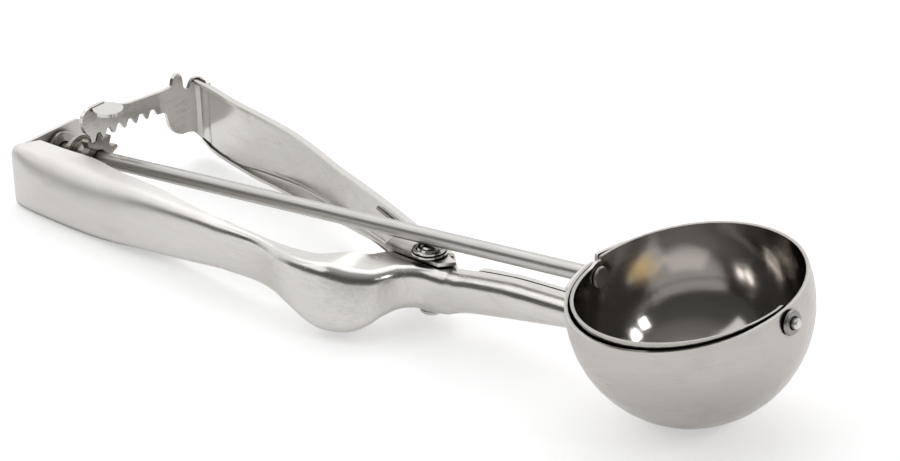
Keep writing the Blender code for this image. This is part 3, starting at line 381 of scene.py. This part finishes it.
# The end wall: between these X, between these Y, its corners, and its round far side
END_WALL = (-124.3, -123.3)
END_WALL_SPAN = (-12.5, 9.0)
END_WALL_CORNER = (2.0, 2.6)
END_WALL_ROUND = 3.0
# The bores for the rod, through the end wall, and for the rivet, through both ears
BORE_RADIUS = 2.3
ROD_BORE_LENGTH = 10
PIVOT_BORE_LENGTH = 16.4
# The neck's end is cut to the bowl's outside
BOWL_SEAT_RADIUS = 28.3
# How many steps the handle has along its grip, its finger rest and its neck
STEPS = (64, 56, 26)
# How many short lines first follow a smooth curve between two of its given points
SUBSTEPS = 24


# The pressed main handle

def smooth_curve(points, portions):
    """Points on the smooth curve through the given ones. Each portion is (spans, steps), evenly spaced."""
    given = [Vector(point) for point in points]
    padded = [2 * given[0] - given[1]] + given + [2 * given[-1] - given[-2]]
    spans = []
    for a, b, c, d in zip(padded, padded[1:], padded[2:], padded[3:]):
        ts = [step / SUBSTEPS for step in range(SUBSTEPS + 1)]
        spans.append([0.5 * (2 * b + (c - a) * t + (2 * a - 5 * b + 4 * c - d) * t ** 2
                             + (3 * b - a - 3 * c + d) * t ** 3) for t in ts])
    found = []
    first = 0
    for count, steps in portions:
        dense = [point for span in spans[first:first + count] for point in span[:-1]]
        dense.append(spans[first + count - 1][-1])
        found += evenly(dense, steps)[bool(found):]
        first += count
    return found


def evenly(points, steps):
    """New points at even distances along the polyline."""
    lengths = [0.0]
    for a, b in zip(points, points[1:]):
        lengths.append(lengths[-1] + (b - a).length)
    targets = np.linspace(0, lengths[-1], steps + 1)
    axes = [np.interp(targets, lengths, [point[i] for point in points]) for i in (0, 1)]
    return [Vector(values) for values in zip(*axes)]


def level(table):
    """A function that gives the table's value at a place, smoothly between its points."""
    places, values = zip(*smooth_curve(table, [(len(table) - 1, 16 * len(table))]))
    return lambda place: float(np.interp(place, places, values))


def arc(centre, radius, start, end, steps):
    """Points on a plan arc, both ends included."""
    angles = np.radians(np.linspace(start, end, steps + 1))
    return [Vector((centre[0] + radius * math.cos(a), centre[1] + radius * math.sin(a))) for a in angles]


def folded(corners, cuts, steps=9):
    """Outer and inner points of a sheet folded at the corners, each rounded by its cut length."""
    corners = [Vector(corner) for corner in corners]
    outer = [corners[0]]
    slopes = [corners[1] - corners[0]]
    for i, cut in enumerate(cuts, start=1):
        before, here, after = corners[i - 1:i + 2]
        cut = min(cut, SHARE_BEFORE[i - 1] * (here - before).length,
                  SHARE_AFTER[i - 1] * (after - here).length)
        a = here + (before - here).normalized() * cut
        b = here + (after - here).normalized() * cut
        for t in (step / steps for step in range(steps + 1)):
            outer.append((1 - t) ** 2 * a + 2 * t * (1 - t) * here + t ** 2 * b)
            slopes.append((1 - t) * (here - a) + t * (b - here))
    outer.append(corners[-1])
    slopes.append(corners[-1] - corners[-2])
    inward = [Vector((-slope.y, slope.x)).normalized() for slope in slopes]
    inner = [point + SHEET * way for point, way in zip(outer, inward)]
    return outer, inner


def share_of(place, span):
    """How far a place is through a span of (start, length), from 0 to 1."""
    return min(max((place - span[0]) / span[1], 0), 1)


def ear_pinch(point, height, high, low):
    """How much the flange comes in near the pivot, so that the ears are flat."""
    if point.x > 0:
        return 1.0
    share = share_of(point.length, EAR_SPAN)
    share = share * share * (3 - 2 * share)
    limit = min(MAIN_EAR_TOP / (high if height > 0 else -low), 1)
    return limit + (1 - limit) * share


def main_stations():
    """The handle's cross-sections: outer and inner points, from the end wall to the bowl."""
    grip, hook, neck = STEPS
    spans = (len(GRIP_BACK) - 1, len(HOOK_BACK) + 2, len(NECK_BACK) - 2)
    back = smooth_curve(GRIP_BACK + HOOK_BACK + NECK_BACK, list(zip(spans, (grip, hook, neck))))
    ear = EAR_START + [tuple(p) for p in arc((0, 0), EAR_RADIUS, *EAR_ARC, 5)] + EAR_END
    lip = smooth_curve(GRIP_LIP, [(len(GRIP_LIP) - 1, grip)])
    lip += smooth_curve([GRIP_LIP[-1]] + ear, [(2, hook // 2), (len(ear) - 2, hook // 2)])[1:]
    top, bottom, inset = level(MAIN_TOP), level(MAIN_BOTTOM), level(TOP_INSET)
    upper_corner, lower_corner = level(TOP_CORNER), level(BOTTOM_CORNER)
    stations = []
    for k, outside in enumerate(back):
        slope = (back[min(k + 1, len(back) - 1)] - back[max(k - 1, 0)]).normalized()
        inward = Vector((-slope.y, slope.x))
        in_neck = k > grip + hook
        radius = lower_corner(outside.x)
        free = outside + inward * NECK_SEAM if in_neck else lip[k]
        start = outside + inward * radius
        width = radius + (free - start).length
        if (free - outside).length < radius + 1:
            width = (free - outside).length
            radius = 0.7 * width
            start = outside + inward * radius
        high, low = top(outside.x), bottom(outside.x)
        neck_width = NECK_WIDTH - NECK_NARROWS * share_of(outside.x, NECK_SPAN)
        run = max(width - radius, 0.6)
        open_end = [(width - 0.55 * run, low), (width - 0.25 * run, low), (width, low)]
        shut_end = [(neck_width, low), (neck_width, high), (NECK_SEAM + 0.5, high)]
        closed = share_of(outside.x, NECK_CLOSES)
        ends = [Vector(a).lerp(Vector(b), closed) for a, b in zip(open_end, shut_end)]
        lean = min(max(inset(outside.x), 0), 0.5 * width)
        upper = min(upper_corner(outside.x), 0.8 * width) if radius == lower_corner(outside.x) else radius
        corners = [(width, high), (lean, high), (0, low)] + ends
        rows = folded(corners, (upper, radius, SEAM_CORNER, SEAM_CORNER))
        along = (free - start).normalized()
        placed = []
        for row in rows:
            points = []
            for p in row:
                in_round = p.x <= radius or in_neck
                plan = outside + inward * p.x if in_round else start + along * (p.x - radius)
                height = p.y * ear_pinch(plan, p.y, high, low) + 1000 * PIVOT_HEIGHT
                points.append(Vector((plan.x, plan.y, height)))
            placed.append(points)
        stations.append(placed)
    return stations


def loft(stations):
    """A bent sheet through the stations, as a bmesh in millimetres."""
    shape = bmesh.new()
    outers, inners = ([[shape.verts.new(p) for p in station[k]] for station in stations] for k in (0, 1))
    last = len(outers[0]) - 1
    for a, b, c, d in zip(outers, outers[1:], inners, inners[1:]):
        for i in range(last):
            shape.faces.new((a[i], a[i + 1], b[i + 1], b[i]))
            shape.faces.new((c[i], d[i], d[i + 1], c[i + 1]))
        shape.faces.new((a[0], b[0], d[0], c[0]))
        shape.faces.new((a[last], c[last], d[last], b[last]))
    for outer, inner in ((outers[0], inners[0]), (outers[-1], inners[-1])):
        for i in range(last):
            shape.faces.new((outer[i], inner[i], inner[i + 1], outer[i + 1]))
    return shape


def prism(outline, low, high):
    """A closed body between two planes square to X, its outline given as (y, z), as a bmesh."""
    shape = bmesh.new()
    rows = [[shape.verts.new((x, y, z)) for y, z in outline] for x in (low, high)]
    for k in range(len(outline)):
        j = (k + 1) % len(outline)
        shape.faces.new((rows[0][k], rows[0][j], rows[1][j], rows[1][k]))
    shape.faces.new(rows[0][::-1])
    shape.faces.new(rows[1])
    return shape


def body_from(name, shape, place=Matrix.Identity(4)):
    """An object from a bmesh in millimetres, its faces turned outward."""
    bmesh.ops.recalc_face_normals(shape, faces=shape.faces)
    if shape.calc_volume(signed=True) < 0:
        bmesh.ops.reverse_faces(shape, faces=shape.faces)
    bmesh.ops.scale(shape, verts=shape.verts, vec=(0.001, 0.001, 0.001))
    bmesh.ops.transform(shape, matrix=place, verts=shape.verts)
    mesh = bpy.data.meshes.new(name)
    shape.to_mesh(mesh)
    shape.free()
    return link(bpy.data.objects.new(name, mesh))


def cylinder(name, place, radius, length):
    """A cutter centred on a place, along that place's own Z axis."""
    shape = bmesh.new()
    bmesh.ops.create_cone(shape, cap_ends=True, segments=64, radius1=radius, radius2=radius, depth=length)
    return body_from(name, shape, place)


def carve(item, steps):
    """Joins or cuts each (helper, operation, solver) in turn, then keeps only the finished mesh."""
    for helper, operation, solver in steps:
        step = item.modifiers.new(helper.name, "BOOLEAN")
        step.object, step.operation, step.solver = helper, operation, solver
    bpy.context.view_layer.update()
    finished = bpy.data.meshes.new_from_object(item.evaluated_get(bpy.context.evaluated_depsgraph_get()))
    item.modifiers.clear()
    item.data = finished
    for helper, _, _ in steps:
        bpy.data.objects.remove(helper)


def make_main_handle():
    """The pressed handle in the CAD node's place, with the fold over the finger rest as photographed."""
    handle = body_from("main_handle_pressed", loft(main_stations()))
    up = 1000 * PIVOT_HEIGHT
    low, high = level(MAIN_BOTTOM)(END_WALL[0]) + up, level(MAIN_TOP)(END_WALL[0]) + up
    near, reach = END_WALL_SPAN
    far = reach - END_WALL_ROUND
    in_y, in_z = END_WALL_CORNER
    outline = [(near, low + in_z), (near, high - in_z), (near + in_y, high), (far, high)]
    outline += [tuple(p) for p in arc((far, high - END_WALL_ROUND), END_WALL_ROUND, 75, 0, 10)]
    outline += [tuple(p) for p in arc((far, low + END_WALL_ROUND), END_WALL_ROUND, 0, -75, 10)]
    outline += [(far, low), (near + in_y, low)]
    wall = body_from("end wall", prism(outline, *END_WALL))
    on_rod = ROD_START + ROD_AXIS * (END_WALL[0] * 0.001 / math.cos(ROD_TILT))
    along_rod = Matrix.Translation(on_rod) @ ROD_AXIS.to_track_quat("Z", "Y").to_matrix().to_4x4()
    rod_bore = cylinder("rod bore", along_rod, BORE_RADIUS, ROD_BORE_LENGTH)
    at_pivot = Matrix.Translation((0, 0, PIVOT_HEIGHT))
    pivot_bore = cylinder("pivot bore", at_pivot, BORE_RADIUS, PIVOT_BORE_LENGTH)
    sphere = bmesh.new()
    bmesh.ops.create_uvsphere(sphere, u_segments=96, v_segments=64, radius=BOWL_SEAT_RADIUS)
    seat = body_from("bowl seat", sphere, Matrix.Translation(BOWL_CENTRE))
    carve(handle, [(wall, "UNION", "MANIFOLD"), (pivot_bore, "DIFFERENCE", "EXACT"),
                   (rod_bore, "DIFFERENCE", "EXACT"), (seat, "DIFFERENCE", "EXACT")])
    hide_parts("main_handle")
    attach(handle, "main")
    return handle


def make_scraper():
    """The scraper strip, parked a little lower inside the rim than the CAD node, as photographed."""
    strip = link(bpy.data.objects.new("scraper_strip", nodes["scraper"].data.copy()))
    turn = (Matrix.Translation(ROD_START) @ Matrix.Rotation(SCRAPER_PARK, 4, ROD_AXIS)
            @ Matrix.Translation(-ROD_START))
    strip.data.transform(turn)
    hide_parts("scraper")
    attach(strip, "drive")
    return strip


SMOOTH = smoothing()

dress(metal("brushed handle steel", SATIN, 0.23, "along", 0.7, 0.8, 0.35, dull_rear=0.32),
      make_main_handle())
dress(metal("brushed trigger steel", SATIN, 0.22, "trigger", 0.7, 0.8, 0.4), "trigger_handle")
dress(metal("spun bowl steel", MIRROR, 0.22, "rings", 0.6, 0.35, 0.45, 0.3), "bowl")
dress(metal("scraper strip steel", MIRROR, 0.2, "rings", 0.5, 0.4, 0.4, 0.3), make_scraper())
dress(metal("bracket steel", SATIN, 0.22, "rings", 0.5, 0.5, 0.4), "bowl_bracket")
dress(metal("drawn rod steel", (0.6, 0.585, 0.57), 0.34, "rod", 0.8, 0.25, 0.3), "drive_rod")
dress(metal("turned steel", (0.46, 0.44, 0.41), 0.18, "turned", 0.9, 0.3, 0.6),
      "spacer_sleeve", "rear_bush")
dress(metal("pinion steel", (0.4, 0.375, 0.34), 0.2, "turned", 0.8, 0.4, 0.9), "pinion")
# The pin's pale tint is a painted highlight on its end
dress(metal("scraper pin steel", (0.8, 0.79, 0.77), 0.36, "turned", 0.3, 0.2, 0.2), "scraper_pin")
# The washer's dark tint is painted shade round the pin
dress(metal("pin washer steel", (0.36, 0.345, 0.33), 0.3, "turned", 0.6, 0.3, 0.6), "scraper_pin_washer")
dress(metal("rivet steel", (0.68, 0.66, 0.63), 0.14, "turned", 0.4, 0.3, 0.3),
      "pivot_rivet", "pivot_washer")
dress(metal("spring wire", (0.55, 0.53, 0.5), 0.25, "along", 0.4, 0.2, 0.5), "torsion_spring")


# The studio

# The line of sight: degrees round from -Y towards +X, degrees up, and degrees of roll
VIEW = (41.612, 26.458, 2.507)
CAMERA_PLACE = (0.5949, -0.6623, 0.4638)
LENS = 170.85
SENSOR_WIDTH = 36
# The line of sight in plan, away from the camera
AWAY = (-math.sin(math.radians(VIEW[0])), math.cos(math.radians(VIEW[0])), 0)
# How far along it a direction points where the backdrop begins, and where it is all white
BACKDROP = (0.1, 0.5)
# The room on the camera's side, as (share of the way from straight down to straight up, tone)
ROOM_TONES = ((0.5, 0.15), (0.56, 0.1), (0.66, 0.085), (0.8, 0.11), (0.9, 0.24))
LIGHT_TARGET = Vector((-0.01, 0, 0.02))
LIGHT_DISTANCE = 1.25
FLOOR_REACH = 6.0
FLOOR_GLOW = 0.5
# The floor's glow in reflections, as a share of what the camera sees
FLOOR_IN_GLOSS = 0.66


def make_floor():
    """A pale flat floor. It glows, so that it is white to the camera, and less so in reflections."""
    mesh = bpy.data.meshes.new("floor")
    corners = [(-1, -1), (1, -1), (1, 1), (-1, 1)]
    height = cad_box[0].z
    mesh.from_pydata([(x * FLOOR_REACH, y * FLOOR_REACH, height) for x, y in corners], [], [(0, 1, 2, 3)])
    tree = Tree("pale floor")
    ray = tree.node("ShaderNodeLightPath").outputs
    seen = tree.math("MAXIMUM", tree.math("MAXIMUM", ray["Is Camera Ray"], tree.math(
        "MULTIPLY", ray["Is Glossy Ray"], FLOOR_IN_GLOSS)), ray["Is Transmission Ray"])
    speck = tree.noise(tree.place, 60.0, 3.0, 0.5)
    tree.put(tree.shader.inputs["Base Color"], tree.mix(speck, (0.80, 0.80, 0.80), (0.83, 0.83, 0.83)))
    tree.shader.inputs["Roughness"].default_value = 0.9
    tree.shader.inputs["Specular IOR Level"].default_value = 0.0
    tree.shader.inputs["Emission Color"].default_value = (1, 1, 1, 1)
    tree.put(tree.shader.inputs["Emission Strength"], tree.math("MULTIPLY", seen, FLOOR_GLOW))
    mesh.materials.append(tree.material)
    floor = link(bpy.data.objects.new("floor", mesh))


def make_world():
    """A dim room with a white backdrop behind the object and a paler ceiling."""
    world = bpy.data.worlds.new("studio")
    bpy.context.scene.world = world
    world.use_nodes = True
    tree = world.node_tree
    tree.nodes.clear()
    new = tree.nodes.new
    output = new("ShaderNodeOutputWorld")
    background = new("ShaderNodeBackground")
    place = new("ShaderNodeTexCoord").outputs["Generated"]
    split = new("ShaderNodeSeparateXYZ")
    tree.links.new(place, split.inputs[0])
    rise = new("ShaderNodeValToRGB")
    rise.color_ramp.interpolation = "EASE"
    stops = rise.color_ramp.elements
    stops[0].position, stops[0].color = 0.0, (0.5, 0.5, 0.5, 1)
    stops[1].position, stops[1].color = 1.0, (0.42, 0.42, 0.43, 1)
    for position, tone in ROOM_TONES:
        stop = stops.new(position)
        stop.color = (tone, tone * 0.97, tone * 0.93, 1)
    height = new("ShaderNodeMapRange")
    height.inputs["From Min"].default_value = -1
    height.inputs["From Max"].default_value = 1
    tree.links.new(split.outputs["Z"], height.inputs["Value"])
    tree.links.new(height.outputs[0], rise.inputs[0])
    facing = new("ShaderNodeVectorMath")
    facing.operation = "DOT_PRODUCT"
    tree.links.new(place, facing.inputs[0])
    facing.inputs[1].default_value = AWAY
    behind = new("ShaderNodeMapRange")
    behind.interpolation_type = "SMOOTHSTEP"
    behind.inputs["From Min"].default_value, behind.inputs["From Max"].default_value = BACKDROP
    tree.links.new(facing.outputs["Value"], behind.inputs["Value"])
    room = new("ShaderNodeMix")
    room.data_type = "RGBA"
    room.inputs["B"].default_value = (1, 1, 1, 1)
    tree.links.new(behind.outputs[0], room.inputs["Factor"])
    tree.links.new(rise.outputs[0], room.inputs["A"])
    ray = new("ShaderNodeLightPath")
    seen = new("ShaderNodeMix")
    seen.data_type = "RGBA"
    seen.inputs["B"].default_value = (1, 1, 1, 1)
    tree.links.new(ray.outputs["Is Camera Ray"], seen.inputs["Factor"])
    tree.links.new(room.outputs["Result"], seen.inputs["A"])
    tree.links.new(seen.outputs["Result"], background.inputs["Color"])
    background.inputs["Strength"].default_value = 1.0
    tree.links.new(background.outputs[0], output.inputs[0])


def add_light(name, azimuth, elevation, size, power):
    """A soft panel in a direction: degrees round from -Y towards +X, and degrees up."""
    a, e = math.radians(azimuth), math.radians(elevation)
    out = Vector((math.sin(a) * math.cos(e), -math.cos(a) * math.cos(e), math.sin(e)))
    lamp = bpy.data.lights.new(name, "AREA")
    lamp.shape = "RECTANGLE"
    lamp.size, lamp.size_y = size
    lamp.energy = power
    item = link(bpy.data.objects.new(name, lamp))
    item.location = LIGHT_TARGET + LIGHT_DISTANCE * out
    item.rotation_euler = (-out).to_track_quat("-Z", "Y").to_euler()


def make_camera():
    """The photograph's view, through a long lens."""
    azimuth, elevation, roll = (math.radians(angle) for angle in VIEW)
    back = Vector((math.sin(azimuth) * math.cos(elevation), -math.cos(azimuth) * math.cos(elevation),
                   math.sin(elevation)))
    right = Vector((math.cos(azimuth), math.sin(azimuth), 0))
    look = Matrix((right, back.cross(right), back))
    c, s = math.cos(roll), math.sin(roll)
    turned = Matrix(((c, -s, 0), (s, c, 0), (0, 0, 1))) @ look
    camera = link(bpy.data.objects.new("camera", bpy.data.cameras.new("camera")))
    placed = turned.transposed().to_4x4()
    placed.translation = Vector(CAMERA_PLACE)
    camera.matrix_world = placed
    camera.data.sensor_width = SENSOR_WIDTH
    camera.data.lens = LENS
    camera.data.clip_end = 20
    bpy.context.scene.camera = camera


make_floor()
make_world()
add_light("front window", -42, 50, (1.1, 0.75), 2.6)
add_light("upper pane", 96, 32, (0.16, 0.17), 0.85)
add_light("lower pane", 113, 34.5, (0.2, 0.18), 0.95)
add_light("ceiling", -140, 62, (1.3, 1.1), 3.0)
make_camera()
bpy.context.scene.view_settings.view_transform = "Standard"
